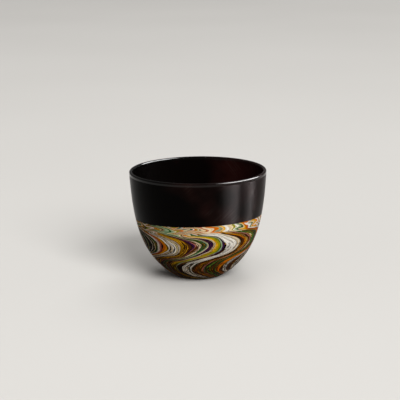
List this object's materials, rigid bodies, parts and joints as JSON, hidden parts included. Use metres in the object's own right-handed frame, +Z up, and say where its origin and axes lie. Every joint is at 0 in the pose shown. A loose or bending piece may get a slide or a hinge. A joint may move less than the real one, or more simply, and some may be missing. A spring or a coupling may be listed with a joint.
{
  "type": "sake cup",
  "caption": "Round-bottomed lacquered wood sake cup with a thin rounded lip, a black upper band and a marbled lower band.",
  "frame": {"origin": "centre of the foot, on the surface that the cup stands on", "axes": "+Z up along the cup's axis, -Y towards the viewer of the picture, +X to that viewer's right"},
  "size_m": [0.066, 0.066, 0.052],
  "materials": {
    "turned_wood": "turned and sealed, hidden under the lacquer",
    "black_lacquer": "polished black lacquer with a brown-red depth",
    "lining_lacquer": "polished red-black lacquer",
    "marbled_lacquer": "polished marbled lacquer in cream, orange, yellow, green, violet and black"
  },
  "bodies": {
    "root": {"wood_core": "turned_wood", "inner_lining": "lining_lacquer", "lip_edge": "black_lacquer", "upper_band": "black_lacquer", "marbled_band": "marbled_lacquer", "foot_coat": "black_lacquer"}
  },
  "joints": []
}
